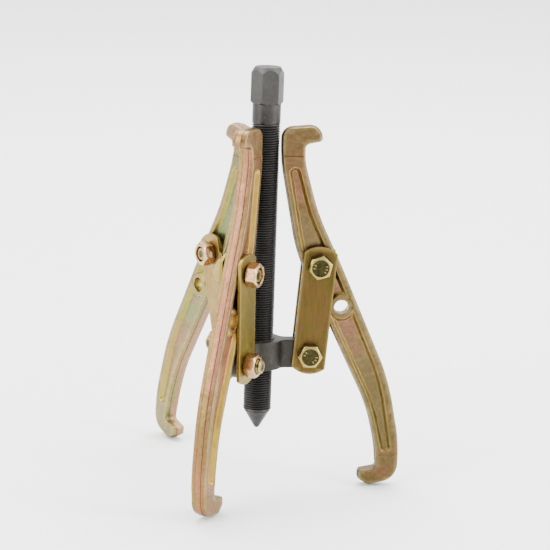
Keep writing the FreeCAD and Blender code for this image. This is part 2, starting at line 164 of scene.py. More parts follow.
def forged_zinc(name, body, tint, cool, bands, offset, lift, sunk, foot):
    """Drop-forged steel under yellow zinc: lengthwise colour bands, golden recesses partly as a painted highlight,
    orange peel, a painted highlight on the rounded edges and painted shade in the creases.
    """
    s = Shader(name)
    place = s.shifted(offset)
    across = s.attribute("across")
    drift = s.noise(24.0, 4.0, 0.55, place, 0.6)
    patch = s.noise(70.0, 5.0, 0.6, place, 1.2)
    grain = s.noise(1500.0, 3.0, 0.6, place)
    peel = s.noise(420.0, 4.0, 0.55, place)
    dents = s.noise(95.0, 2.0, 0.45, place)
    stripe = s.noise(1.0, 1.5, 0.5, s.lengthwise(across, offset, 1.25, 9.0), 0.5)
    wash = s.noise(1.0, 1.5, 0.5, s.lengthwise(across, offset[::-1], 1.0, 14.0), 0.8)
    colour = s.mix(s.remap(drift, 0.38, 0.62), body, tint)
    colour = s.mix(s.remap(patch, 0.50, 0.68, 0.0, 0.7), colour, cool)
    flank = s.remap(s.maths("ABSOLUTE", across), 0.97, 0.80, 0.25, 0.95)
    colour = s.mix(s.maths("MULTIPLY", s.remap(stripe, 0.42, 0.56), flank), colour, bands[0])
    colour = s.mix(s.maths("MULTIPLY", s.remap(wash, 0.50, 0.60), flank), colour, bands[1])
    colour = s.mix(s.remap(peel, 0.30, 0.75, 0.0, 0.40), colour, (0.42, 0.27, 0.14), "MULTIPLY")
    # golden tone of the pocket walls and hole bores: the zinc's own colour, partly a painted highlight on the
    # pocket walls
    recess = s.maths("MULTIPLY", s.attribute("recess"), s.remap(drift, 0.25, 0.6, 0.95, 0.6))
    colour = s.mix(recess, colour, sunk)
    # painted highlight on the rounded edges and pocket lips, broken up by the patches
    edge = s.attribute("edge")
    colour = s.mix(s.maths("MULTIPLY", edge, s.remap(patch, 0.3, 0.7, 0.70, 0.25)), colour,
                   tuple(lift * c for c in (0.46, 0.35, 0.14)))
    # painted shade: the flash line, the pad steps and the ring round the free boss darkened
    crease = s.maths("MULTIPLY", s.attribute("crease"), s.remap(peel, 0.3, 0.7, 1.0, 0.65))
    colour = s.mix(crease, colour, (0.20, 0.16, 0.14), "MULTIPLY")
    height = s.coordinates()[2]
    # darker or lighter towards the bottom of each jaw
    colour = s.mix(s.remap(height, FOOT_FADE_TOP, FOOT_FADE_END), colour, foot, "MULTIPLY")
    roughness = s.maths(
        "ADD", s.remap(patch, 0.3, 0.75, 0.34, 0.48), s.remap(grain, 0.3, 0.7, -0.05, 0.07))
    normal = s.bump(dents, 0.0012, 0.6)
    normal = s.bump(peel, 0.00026, 0.6, normal)
    normal = s.bump(grain, 0.00005, 0.45, normal)
    return s.finish(colour, roughness, normal)


def rolled_zinc(name, body, tint, cool, offset):
    """Cold-rolled strip under yellow zinc: cloudy colour, a few drawn lines, a painted highlight on the sheared
    edges.
    """
    s = Shader(name)
    place = s.shifted(offset)
    drift = s.noise(40.0, 5.0, 0.6, place, 1.2)
    cloud = s.noise(95.0, 4.0, 0.6, place, 1.6)
    lines = s.noise(520.0, 3.0, 0.55, s.shifted(offset, (1.0, 1.0, 0.12)))
    grain = s.noise(1700.0, 2.0, 0.6, place)
    colour = s.mix(s.remap(drift, 0.38, 0.62), body, tint)
    colour = s.mix(s.remap(cloud, 0.52, 0.68, 0.0, 0.7), colour, cool)
    colour = s.mix(s.remap(lines, 0.42, 0.75, 0.0, 0.22), colour, (0.35, 0.24, 0.12), "MULTIPLY")
    # painted highlight on the sheared edges and hole mouths
    colour = s.mix(s.maths("MULTIPLY", s.attribute("edge"), 0.55), colour, (0.26, 0.18, 0.055))
    roughness = s.maths(
        "ADD", s.remap(cloud, 0.3, 0.7, 0.36, 0.48), s.remap(lines, 0.3, 0.7, -0.03, 0.04))
    normal = s.bump(s.noise(60.0, 2.0, 0.4, place), 0.0008, 0.4)
    normal = s.bump(lines, 0.00005, 0.35, normal)
    normal = s.bump(grain, 0.00003, 0.4, normal)
    return s.finish(colour, roughness, normal)


def bright_zinc(name, body, tint, rim, sunk, offset):
    """Cold-headed fastener under yellow zinc: smooth faces, rims with a painted highlight and some wear, hollows
    darker with their own tone and painted shade.
    """
    s = Shader(name)
    place = s.shifted(offset)
    drift = s.noise(120.0, 3.0, 0.5, place, 1.0)
    grain = s.noise(1300.0, 3.0, 0.6, place)
    scuffs = s.noise(420.0, 4.0, 0.65, place, 0.8)
    colour = s.mix(s.remap(drift, 0.36, 0.62), body, tint)
    colour = s.mix(s.remap(scuffs, 0.50, 0.75, 0.0, 0.45), colour, (0.42, 0.28, 0.14), "MULTIPLY")
    # painted highlight on rims, chamfers, ticks and thread crests, broken up by scuffs
    edge_wear_and_highlight = s.maths("MULTIPLY", s.attribute("edge"), s.remap(scuffs, 0.3, 0.7, 0.95, 0.6))
    colour = s.mix(edge_wear_and_highlight, colour, rim)
    # hollows darkened: the sunk face of a bolt head in its own dark tone, and painted shade in thread roots, nut
    # bores and the bolt's nose
    dark_face_and_shade = s.mix(s.remap(scuffs, 0.38, 0.62), sunk, tuple(2.1 * c for c in sunk))
    colour = s.mix(s.attribute("recess"), colour, dark_face_and_shade)
    roughness = s.maths(
        "ADD", s.remap(drift, 0.3, 0.7, 0.25, 0.34), s.remap(scuffs, 0.4, 0.75, -0.03, 0.12))
    normal = s.bump(scuffs, 0.00014, 0.45)
    normal = s.bump(grain, 0.00003, 0.4, normal)
    return s.finish(colour, roughness, normal)


def black_oxide(name, body, wear_and_highlight, roughness_span, offset, coarse=1.0, turned=0.0):
    """Blackened steel with faint brown bloom, bare metal rubbed through, edges lightened partly by rubbing and
    partly as a painted highlight, and painted shade in hollows.
    """
    s = Shader(name)
    place = s.shifted(offset)
    bloom = s.noise(60.0 * coarse, 5.0, 0.6, place, 0.8)
    grain = s.noise(900.0, 4.0, 0.62, place)
    rub = s.noise(240.0, 5.0, 0.65, place, 1.4)
    colour = s.mix(s.remap(bloom, 0.35, 0.70, 0.0, 0.6), body, tuple(c * 1.5 for c in body))
    colour = s.mix(s.remap(rub, 0.52, 0.80, 0.0, 0.55), colour, wear_and_highlight)
    # edges lightened partly as rubbed bare metal and partly as a painted highlight
    edge_wear_and_highlight = s.maths("MULTIPLY", s.attribute("edge"), s.remap(rub, 0.3, 0.7, 0.7, 0.35))
    colour = s.mix(edge_wear_and_highlight, colour, wear_and_highlight)
    shade = s.maths("MULTIPLY", s.attribute("recess"), 0.7)
    colour = s.mix(shade, colour, tuple(c * 0.5 for c in body))
    low, high = roughness_span
    roughness = s.maths("ADD", s.remap(bloom, 0.3, 0.7, low, high), s.remap(grain, 0.3, 0.7, -0.05, 0.07))
    normal = s.bump(rub, 0.0003 * coarse, 0.4)
    normal = s.bump(grain, 0.00007, 0.5, normal)
    if turned > 0.0:
        rings = s.noise(1400.0, 2.0, 0.6, s.shifted(offset, (0.02, 0.02, 1.0)))
        normal = s.bump(rings, 0.00006, turned, normal)
    return s.finish(colour, roughness, normal)


# lift scales the painted highlight on the jaws' rounded edges, sunk on the jaws is the golden tone of the
# recesses, partly a painted highlight, rim is the painted highlight of the fasteners and their sunk colour darkens
# hollows, partly as painted shade; the lighter colour of the black steels goes on rubbed patches and, partly as a
# painted highlight, on edges
MATERIALS = {
    "jaw_a": forged_zinc(
        "jaw_zinc_a", body=(0.205, 0.122, 0.052), tint=(0.245, 0.114, 0.060), cool=(0.15, 0.137, 0.036),
        bands=((0.29, 0.130, 0.080), (0.215, 0.165, 0.050)), offset=(0.3, 0.1, 0.0), lift=0.66,
        sunk=(0.55, 0.37, 0.045), foot=(0.97, 1.0, 0.86)),
    "jaw_b": forged_zinc(
        "jaw_zinc_b", body=(0.108, 0.083, 0.029), tint=(0.165, 0.088, 0.042), cool=(0.094, 0.090, 0.031),
        bands=((0.195, 0.100, 0.058), (0.150, 0.108, 0.048)), offset=(0.7, 0.4, 0.2), lift=0.58,
        sunk=(0.29, 0.205, 0.050), foot=(0.74, 0.78, 0.74)),
    "jaw_c": forged_zinc(
        "jaw_zinc_c", body=(0.185, 0.160, 0.064), tint=(0.235, 0.148, 0.080), cool=(0.140, 0.175, 0.068),
        bands=((0.27, 0.148, 0.094), (0.165, 0.195, 0.074)), offset=(1.3, 0.2, 0.5), lift=0.70,
        sunk=(0.30, 0.24, 0.035), foot=(1.12, 1.06, 1.04)),
    "link_a": rolled_zinc(
        "link_zinc_a", body=(0.190, 0.145, 0.024), tint=(0.225, 0.168, 0.036),
        cool=(0.205, 0.124, 0.031), offset=(0.2, 0.6, 0.1)),
    "link_b": rolled_zinc(
        "link_zinc_b", body=(0.090, 0.056, 0.016), tint=(0.076, 0.057, 0.014),
        cool=(0.112, 0.056, 0.027), offset=(0.9, 0.3, 0.4)),
    "link_c": rolled_zinc(
        "link_zinc_c", body=(0.245, 0.160, 0.040), tint=(0.285, 0.195, 0.058),
        cool=(0.255, 0.142, 0.050), offset=(0.4, 0.1, 0.8)),
    "bolt": bright_zinc(
        "bolt_zinc", body=(0.18, 0.13, 0.034), tint=(0.21, 0.13, 0.052), rim=(0.36, 0.29, 0.09),
        sunk=(0.020, 0.017, 0.006), offset=(0.5, 0.2, 0.9)),
    "nut": bright_zinc(
        "nut_zinc", body=(0.34, 0.150, 0.060), tint=(0.23, 0.105, 0.034), rim=(0.52, 0.35, 0.20),
        sunk=(0.13, 0.065, 0.022), offset=(0.1, 0.9, 0.4)),
    "screw": black_oxide(
        "screw_black", body=(0.036, 0.034, 0.032), wear_and_highlight=(0.12, 0.115, 0.108),
        roughness_span=(0.38, 0.50), offset=(0.4, 0.3, 0.2)),
    "point": black_oxide(
        "point_black", body=(0.034, 0.032, 0.030), wear_and_highlight=(0.09, 0.086, 0.08),
        roughness_span=(0.34, 0.44), offset=(0.6, 0.3, 0.7), turned=0.6),
    "yoke": black_oxide(
        "yoke_black", body=(0.032, 0.030, 0.026), wear_and_highlight=(0.080, 0.076, 0.068),
        roughness_span=(0.44, 0.56), offset=(0.8, 0.5, 0.1), coarse=0.8),
}


# ---------------------------------------------------------------- outlines in a flat drawing
SMALLEST_CORNER_R = 0.3
# the widest turn one step of a rounded corner may take, radians
STEEPEST_STEP = 0.22


def unit(ax, az, bx, bz):
    length = math.hypot(bx - ax, bz - az)
    return (bx - ax) / length, (bz - az) / length


def inset_corners(corners, insets):
    """Shift each edge of a clockwise polygon inward and meet the edges again."""
    count = len(corners)
    lines = []
    for index in range(count):
        ax, az = corners[index][:2]
        bx, bz = corners[(index + 1) % count][:2]
        dx, dz = unit(ax, az, bx, bz)
        shift = insets[index]
        lines.append((ax + dz * shift, az - dx * shift, dx, dz))
    moved = []
    for index in range(count):
        px, pz, pdx, pdz = lines[index - 1]
        qx, qz, qdx, qdz = lines[index]
        cross = pdx * qdz - pdz * qdx
        reach = ((qx - px) * qdz - (qz - pz) * qdx) / cross
        mean = (insets[index - 1] + insets[index]) / 2.0
        radius = corners[index][2] + (mean if cross > 0 else -mean)
        moved.append((px + pdx * reach, pz + pdz * reach, max(radius, SMALLEST_CORNER_R)))
    return moved


def trace(corners, arc_steps, line_steps):
    """Points round a polygon with rounded corners; every call gives the same number."""
    count = len(corners)
    arcs = []
    for index in range(count):
        ax, az = corners[index - 1][:2]
        bx, bz, radius = corners[index]
        cx, cz = corners[(index + 1) % count][:2]
        ix, iz = unit(bx, bz, ax, az)
        ox, oz = unit(bx, bz, cx, cz)
        half_angle = math.acos(max(-1.0, min(1.0, ix * ox + iz * oz))) / 2.0
        mx, mz = unit(0, 0, ix + ox, iz + oz)
        depth = radius / math.sin(half_angle)
        centre_x, centre_z = bx + mx * depth, bz + mz * depth
        trim = radius / math.tan(half_angle)
        first = math.atan2(bz + iz * trim - centre_z, bx + ix * trim - centre_x)
        last = math.atan2(bz + oz * trim - centre_z, bx + ox * trim - centre_x)
        sweep = (last - first + math.pi) % (2.0 * math.pi) - math.pi
        arcs.append([
            (centre_x + radius * math.cos(first + sweep * step / arc_steps[index]),
             centre_z + radius * math.sin(first + sweep * step / arc_steps[index]))
            for step in range(arc_steps[index] + 1)
        ])
    points = []
    for index in range(count):
        points += arcs[index]
        ax, az = arcs[index][-1]
        bx, bz = arcs[(index + 1) % count][0]
        for step in range(1, line_steps[index]):
            share = step / line_steps[index]
            points.append((ax + (bx - ax) * share, az + (bz - az) * share))
    return points


def steps_for(corners, spacing):
    """How many steps each corner arc and each straight gets for this spacing."""
    count = len(corners)
    arc_steps, line_steps = [], []
    for index in range(count):
        ax, az = corners[index - 1][:2]
        bx, bz, radius = corners[index]
        cx, cz = corners[(index + 1) % count][:2]
        ix, iz = unit(ax, az, bx, bz)
        ox, oz = unit(bx, bz, cx, cz)
        turn = math.acos(max(-1.0, min(1.0, ix * ox + iz * oz)))
        arc_steps.append(max(3, math.ceil(radius * turn / spacing), math.ceil(turn / STEEPEST_STEP)))
        line_steps.append(max(1, round(math.hypot(cx - bx, cz - bz) / (2.0 * spacing))))
    return arc_steps, line_steps


def circle(radius, count, x=0.0, z=0.0):
    return [(x + radius * math.cos(2.0 * math.pi * step / count),
             z + radius * math.sin(2.0 * math.pi * step / count)) for step in range(count)]


def signed_distance(points, outline):
    """Distance of each point to a closed outline, negative inside, worked out in blocks."""
    block_size = 2000
    nearly_zero = 1e-12
    points = np.asarray(points, float).reshape(-1, 2)
    start = np.asarray(outline, float)
    run = np.roll(start, -1, axis=0) - start
    length_squared = np.maximum((run ** 2).sum(1), nearly_zero)
    rise = np.where(run[:, 1] == 0, nearly_zero, run[:, 1])
    result = np.empty(len(points))
    for first in range(0, len(points), block_size):
        block = points[first:first + block_size, None, :]
        offset = block - start[None]
        share = np.clip((offset * run[None]).sum(2) / length_squared, 0.0, 1.0)
        gap = offset - share[..., None] * run[None]
        distance = np.sqrt((gap ** 2).sum(2)).min(1)
        above = block[..., 1] >= start[None, :, 1]
        above_next = block[..., 1] >= (start + run)[None, :, 1]
        cross_at = start[None, :, 0] + run[None, :, 0] * offset[..., 1] / rise
        crossings = ((above != above_next) & (block[..., 0] < cross_at)).sum(1)
        result[first:first + block_size] = np.where(crossings % 2 == 1, -distance, distance)
    return result


def smooth_step(value):
    value = np.clip(value, 0.0, 1.0)
    return value * value * (3.0 - 2.0 * value)


# ---------------------------------------------------------------- mesh making
WELD_GAP = 4e-7
SLIVER = 2e-7


class Shell:
    """Points and faces of one closed piece, drawn in millimetres about its own centre.

    Each point carries how far it counts as an edge, a recess and a crease, for the material.
    """

    def __init__(self):
        self.points = []
        self.faces = []
        self.recess = []
        self.edge = []
        self.crease = []

    def ring(self, points, edge=0.0, recess=0.0, crease=0.0):
        first = len(self.points)
        self.points += [tuple(map(float, point)) for point in points]
        self.edge += [edge] * len(points)
        self.recess += [recess] * len(points)
        self.crease += [crease] * len(points)
        return list(range(first, len(self.points)))

    def bridge(self, one, other, closed=True):
        count = len(one)
        for step in range(count if closed else count - 1):
            after = (step + 1) % count
            self.faces.append((one[step], one[after], other[after], other[step]))

    def skin(self, rings):
        for one, other in zip(rings, rings[1:]):
            self.bridge(one, other)

    def cap(self, ring, centre):
        middle = self.ring([centre])[0]
        for step in range(len(ring)):
            self.faces.append((ring[step], ring[(step + 1) % len(ring)], middle))

    def sheet(self, loops, extra, lift):
        """Fill between closed loops; lift gives y, edge, recess and crease inside."""
        flat = [(self.points[i][0], self.points[i][2]) for loop in loops for i in loop]
        known = [i for loop in loops for i in loop]
        edges, first = [], 0
        for loop in loops:
            edges += [(first + k, first + (k + 1) % len(loop)) for k in range(len(loop))]
            first += len(loop)
        corners = [Vector(point) for point in flat + list(extra)]
        out, _, faces, sources, _, _ = geometry.delaunay_2d_cdt(corners, edges, [], 1, 0.0005)
        heights, edge, recess, crease = lift(np.array([tuple(v) for v in out]))
        index = []
        for number, source in enumerate(sources):
            old = [k for k in source if k < len(known)]
            if old:
                index.append(known[old[0]])
                continue
            self.points.append((out[number][0], float(heights[number]), out[number][1]))
            self.edge.append(float(edge[number]))
            self.recess.append(float(recess[number]))
            self.crease.append(float(crease[number]))
            index.append(len(self.points) - 1)
        holes = []
        for loop in loops[1:]:
            ring = np.array([(self.points[i][0], self.points[i][2]) for i in loop])
            holes.append((ring.mean(0), 0.999 * np.hypot(*(ring[0] - ring.mean(0)))))
        for face in faces:
            middle = sum((np.array(out[k]) for k in face), np.zeros(2)) / len(face)
            if all(np.hypot(*(middle - centre)) >= radius for centre, radius in holes):
                self.faces.append(tuple(index[k] for k in face))

    def make(self, name, matrix, material, body, slot, node_name):
        mesh = bpy.data.meshes.new(name)
        mesh.from_pydata([matrix @ (Vector(point) * MM) for point in self.points], [], self.faces)
        across = [point[1] / HALF for point in self.points]
        values_of = {"edge": self.edge, "recess": self.recess, "crease": self.crease, "across": across}
        for label, values in values_of.items():
            mesh.attributes.new(label, "FLOAT", "POINT").data.foreach_set("value", values)
        work = bmesh.new()
        work.from_mesh(mesh)
        bmesh.ops.remove_doubles(work, verts=work.verts, dist=WELD_GAP)
        bmesh.ops.dissolve_degenerate(work, edges=work.edges, dist=SLIVER)
        bmesh.ops.recalc_face_normals(work, faces=work.faces)
        work.to_mesh(mesh)
        work.free()
        for polygon in mesh.polygons:
            polygon.use_smooth = True
        piece = bpy.data.objects.new(name, mesh)
        bpy.context.scene.collection.objects.link(piece)
        mesh.materials.append(material)
        normals = piece.modifiers.new("weighted_normals", "WEIGHTED_NORMAL")
        normals.keep_sharp = True
        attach(piece, body)
        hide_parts(node_name)
        return piece


# ---------------------------------------------------------------- where each arm stands
UP = Vector((0.0, 0.0, 1.0))


def basis(x_axis, y_axis, z_axis, place):
    return Matrix.Translation(place) @ Matrix((x_axis, y_axis, z_axis)).transposed().to_4x4()


def link_matrix(name):
    """Link frame: y along the bolts, z from the lower bolt to the upper one."""
    lower = Vector(JOINTS["link_swing_" + name]["pos_m"])
    upper = Vector(JOINTS["pin_turn_" + name]["pos_m"])
    across = Vector(JOINTS["link_swing_" + name]["axis"])
    along = (upper - lower).normalized()
    return basis(across.cross(along), across, along, lower), (upper - lower).length / MM


def jaw_matrix(name):
    """Jaw frame about its upper bolt, turned so that its lower seat points as stated."""
    across = Vector(JOINTS["link_swing_" + name]["axis"])
    out = across.cross(UP)
    normal = Vector(MOUNTS["lower_seat_" + name]["axis"])
    stated = math.atan2(normal.dot(UP), normal.dot(out))
    turn = stated - math.atan2(SEAT_NORMAL[1], SEAT_NORMAL[0])
    x_axis = out * math.cos(turn) + UP * math.sin(turn)
    z_axis = UP * math.cos(turn) - out * math.sin(turn)
    return basis(x_axis, across, z_axis, Vector(JOINTS["pin_turn_" + name]["pos_m"]))


# ---------------------------------------------------------------- jaws
THICKNESS = 13.0
HALF = THICKNESS / 2.0
HOLE_R = 6.08
# a hole's mouth, from the face into the bore: radius over the bore's, depth, edge, recess
HOLE_MOUTH = ((0.75, 0.0, 0.6, 0.0), (0.5, 0.12, 1.0, 0.0), (0.0, 0.6, 0.3, 0.9))
HOLE_STEPS = 48
# how far the face stands in from the parting line, by the draft of the walls
PROUD = 1.2
TIP = 1.9
FREE_HOLE = (19.8, -35.4)
HOLE_SITES = ((0.0, 0.0), FREE_HOLE)
BOSS_R = 9.8
PAD_STEP = 0.30
PAD_RAMP = 0.7
PAD_TOP_Z = 91.0
PAD_BOTTOM_Z = -163.8
POCKET_DEPTH = 3.2
FACE_FILLET = 1.2
FLASH_HALF_WIDTH = 2.3
FLASH_RAMP = 0.25
FLASH_SHY = 0.2
FLASH_FOOT = 0.6
OUTLINE_SPACING = 1.6
MOUTH_SPACING = 1.0
# parting-line outline: x, z, corner radius, inset of the face behind the next edge
JAW_OUTLINE = (
    (-35.0, 114.2, 10.0, PROUD), (0.0, 117.3, 10.4, TIP), (-0.8, 103.6, 1.9, 0.0),
    (-14.4, 100.7, 5.0, PROUD), (-14.4, 86.0, 58.0, PROUD), (-1.8, 42.5, 180.0, PROUD),
    (19.8, -2.0, 400.0, PROUD), (63.0, -98.5, 200.0, PROUD), (73.9, -152.9, 150.0, PROUD),
    (73.9, -185.5, 16.0, PROUD), (48.2, -191.4, 4.5, PROUD), (39.2, -185.4, 4.0, TIP),
    (39.2, -178.5, 1.8, 0.0), (54.3, -175.6, 3.0, PROUD), (52.1, -153.4, 150.0, PROUD),
    (44.2, -121.3, 150.0, PROUD), (-19.6, 9.2, 140.0, PROUD), (-35.0, 87.7, 150.0, PROUD),
)
SEAT_EDGE = unit(*JAW_OUTLINE[12][:2], *JAW_OUTLINE[13][:2])
SEAT_NORMAL = (-SEAT_EDGE[1], SEAT_EDGE[0])
POCKET_OUTLINE = (
    (-28.4, 81.5, 4.3), (-19.2, 81.5, 4.3), (-7.5, 41.5, 150.0), (18.0, -12.0, 300.0), (56.5, -99.5, 180.0),
    (67.4, -161.0, 4.0), (58.6, -161.0, 4.0), (48.1, -118.4, 150.0), (-14.1, 8.9, 140.0),
)
# distances from the mouth of a pocket at which the mesh has a row of points
POCKET_ROWS = (1.2, 0.7, 0.45, 0.2, -0.1, -0.45, -0.85, -1.3, -1.8, -2.3, -2.8, -3.25, -3.65, -4.0, -4.6)
# where the dish of a pocket starts and ends, as distances from its mouth
POCKET_LIP = 0.5
POCKET_TOE = -3.1
# bands that the material picks out: strength, distance of the middle, half width
# the lip band marks pocket lips for a painted highlight, the wall band marks pocket walls for their golden tone,
# partly a painted highlight, and the pad and boss lines mark creases for painted shade
LIP_BAND = (0.8, 0.2, 0.7)
WALL_BAND = (1.0, -1.3, 2.4)
PAD_LINE = (0.4, 0.0, 0.6)
BOSS_LINE = (0.8, 0.0, 0.45)
CREASE_DEPTH = 0.12


def pocket_distance(points, mouth):
    points = np.asarray(points, float).reshape(-1, 2)
    distance = signed_distance(points, mouth)
    for x, z in HOLE_SITES:
        distance = np.maximum(distance, BOSS_R - np.hypot(points[:, 0] - x, points[:, 1] - z))
    return distance


def pad_drop(z):
    """How far the hook ends lie below the face: a small step across the jaw."""
    above = smooth_step((z - PAD_TOP_Z) / PAD_RAMP + 0.5)
    below = smooth_step((PAD_BOTTOM_Z - z) / PAD_RAMP + 0.5)
    return PAD_STEP * (above + below)


def band(distance, strength, middle, half_width):
    return strength * np.clip(1.0 - np.abs(distance - middle) / half_width, 0.0, 1.0)


def face_points(mouth, rim):
    """Points that carry the pockets, the pad steps and the plain face between them."""
    boss_steps, on_border, on_row = 62, 0.03, 0.06
    border = np.array(mouth + circle(BOSS_R, boss_steps) + circle(BOSS_R, boss_steps, *FREE_HOLE))
    border = border[np.abs(pocket_distance(border, mouth)) < on_border]
    slopes = []
    for probe in ((0.05, 0.0), (0.0, 0.05)):
        slopes.append(pocket_distance(border + probe, mouth) - pocket_distance(border - probe, mouth))
    outward = np.stack(slopes, 1)
    outward /= np.maximum(np.hypot(*slopes), 1e-9)[:, None]
    chosen = []
    for level in POCKET_ROWS:
        row = border + outward * level
        chosen.append(row[np.abs(pocket_distance(row, mouth) - level) < on_row])
    # rows along the pad steps, rings along the crease of the free boss, and a wide grid elsewhere
    across = np.arange(-60.0, 100.0, 1.3)
    for z in (PAD_TOP_Z, PAD_BOTTOM_Z):
        for shift in (-0.8, -0.35, 0.0, 0.35, 0.8):
            chosen.append(np.stack([across, np.full(len(across), z + shift)], 1))
    for shift in (-0.45, 0.0, 0.45):
        ring = np.array(circle(BOSS_R + shift, 90, *FREE_HOLE))
        chosen.append(ring[pocket_distance(ring, mouth) > 0.9])
    grid_step, grid_gap = 3.2, 1.0
    grid_x, grid_z = np.meshgrid(
        np.arange(-40.0, 80.0, grid_step), np.arange(-195.0, 120.0, grid_step))
    grid = np.stack([grid_x.ravel(), grid_z.ravel()], 1)
    away = pocket_distance(grid, mouth)
    chosen.append(grid[(away > max(POCKET_ROWS) + grid_gap) | (away < min(POCKET_ROWS) - grid_gap)])
    chosen = np.concatenate(chosen)
    clear = 0.5
    chosen = chosen[signed_distance(chosen, rim) < -clear]
    for x, z in HOLE_SITES:
        distance = np.hypot(chosen[:, 0] - x, chosen[:, 1] - z)
        chosen = chosen[distance > HOLE_R + HOLE_MOUTH[0][0] + clear]
    # one point is kept in each cell, so that no two stand too close
    cell = 0.18
    _, first = np.unique(np.round(chosen / cell).astype(int), axis=0, return_index=True)
    return [tuple(chosen[k]) for k in sorted(first)]


def wall_rows():
    """Rows from the flash line up the drafted wall and over the rounded edge.

    Each is the share of the wall, the depth below the flash, the rounding, y and the crease.
    """
    flash_end = FLASH_HALF_WIDTH + FLASH_RAMP
    wall_top = HALF - FACE_FILLET
    rows = [(0.0, FLASH_SHY, 0.0, FLASH_HALF_WIDTH, 0.0), (0.0, FLASH_FOOT, 0.0, flash_end, 1.0)]
    for share, crease in ((0.07, 1.0), (0.15, 0.0), (0.5, 0.0), (0.8, 0.0), (1.0, 0.0)):
        y = flash_end + (wall_top - flash_end) * share
        rows.append((share, FLASH_FOOT * (1.0 - share), 0.0, y, crease))
    fillet_steps = 5
    for step in range(1, fillet_steps + 1):
        angle = math.pi / 2.0 * step / fillet_steps
        rounding = FACE_FILLET * (1.0 - math.cos(angle))
        rows.append((1.0, 0.0, rounding, wall_top + FACE_FILLET * math.sin(angle), 0.0))
    return rows


def draw_jaw():
    shell = Shell()
    corners = [corner[:3] for corner in JAW_OUTLINE]
    draft = (HALF - FACE_FILLET) / HALF
    arc_steps, line_steps = steps_for(corners, OUTLINE_SPACING)
    mouth_arcs, mouth_lines = steps_for(POCKET_OUTLINE, MOUTH_SPACING)
    mouth = trace(POCKET_OUTLINE, mouth_arcs, [2 * n for n in mouth_lines])
    halves = []
    for side in (1.0, -1.0):
        rings = []
        for share, depth, rounding, y, crease in wall_rows():
            insets = []
            for *_, inset in JAW_OUTLINE:
                insets.append(share * inset * draft + (depth if inset > 0.0 else 0.0) + rounding)
            outline = trace(inset_corners(corners, insets), arc_steps, line_steps)
            drops = pad_drop(np.array([z for _, z in outline])) * (y / HALF)
            points = [(x, side * (y - drop), z) for (x, z), drop in zip(outline, drops)]
            rings.append(shell.ring(points, 1.0 if rounding > 0.0 else 0.0, 0.0, crease))
        shell.skin(rings)
        loops = [rings[-1]]
        bores = []
        for x, z in HOLE_SITES:
            mouth_rings = []
            for wider, depth, edge, recess in HOLE_MOUTH:
                points = [
                    (cx, side * (HALF - depth), cz) for cx, cz in circle(HOLE_R + wider, HOLE_STEPS, x, z)]
                mouth_rings.append(shell.ring(points, edge, recess))
            shell.skin(mouth_rings)
            loops.append(mouth_rings[0])
            bores.append(mouth_rings[-1])

        def lift(points, side=side):
            x, z = points[:, 0], points[:, 1]
            away = pocket_distance(points, mouth)
            step = np.minimum(np.abs(z - PAD_TOP_Z), np.abs(z - PAD_BOTTOM_Z))
            boss = np.abs(np.hypot(x - FREE_HOLE[0], z - FREE_HOLE[1]) - BOSS_R)
            boss_line = band(boss, *BOSS_LINE) * (away > POCKET_LIP)
            crease = np.maximum(band(step, *PAD_LINE), boss_line)
            dish = smooth_step((POCKET_LIP - away) / (POCKET_LIP - POCKET_TOE))
            height = HALF - pad_drop(z) - POCKET_DEPTH * dish - CREASE_DEPTH * crease
            return side * height, band(away, *LIP_BAND), smooth_step(band(away, *WALL_BAND)), crease

        shell.sheet(loops, face_points(mouth, outline), lift)
        halves.append((rings[0], bores))
    (near_foot, near_bores), (far_foot, far_bores) = halves
    shell.bridge(near_foot, far_foot)
    for near, far in zip(near_bores, far_bores):
        shell.bridge(near, far)
    return shell


# ---------------------------------------------------------------- plates, bolts, nuts, screw
PLATE_INNER = HALF + 0.3
PLATE_THICKNESS = 3.0
PLATE_OUTER = PLATE_INNER + PLATE_THICKNESS
PLATE_HALF_WIDTH = 14.0
PLATE_END_R = 20.6
PLATE_END = 16.5
PLATE_EDGE = 0.45
PLATE_MOUTH = 0.3
HEX_ACROSS_FLATS = 18.0
HEX_TOP_R = 7.9
HEX_SLOPE = math.tan(math.radians(30.0))
HEX_EDGE = 0.22
HEX_CORNER_R = 0.5
ROUND_STEPS = 48
HEAD_HEIGHT = 7.5
NUT_HEIGHT = 10.0
BOLT_R = 6.0
BOLT_PITCH = 1.75
BOLT_THREAD_DEPTH = 0.85
BOLT_THREAD_PROFILE = ((0.0, 0.0), (0.12, 0.0), (0.5, 1.0), (0.62, 1.0))
BOLT_THREADED = 14.0
# rows of a bolt's rounded end: radius, depth below the end, edge, recess
BOLT_NOSE = (
    (BOLT_R, 1.2, 0.6, 0.0), (5.55, 0.55, 0.9, 0.0), (4.75, 0.05, 1.0, 0.0), (4.5, 0.0, 0.9, 0.0),
    (3.1, 0.02, 0.3, 0.2), (2.9, 0.2, 0.0, 0.8), (0.0, 0.35, 0.0, 0.8),
)
# rows from a rim inward: radius, depth, edge, recess
HEAD_SUNK = ((7.45, 0.0, 1.0, 0.0), (7.30, 0.06, 0.6, 0.5), (7.12, 0.26, 0.0, 1.0), (3.2, 0.28, 0.0, 1.0))
NUT_BORE_R = 6.02
NUT_MOUTH = (
    (6.95, 0.0, 1.0, 0.0), (6.75, 0.1, 0.8, 0.2), (NUT_BORE_R, 0.85, 0.0, 1.0),
    (NUT_BORE_R, NUT_HEIGHT, 0.0, 1.0),
)
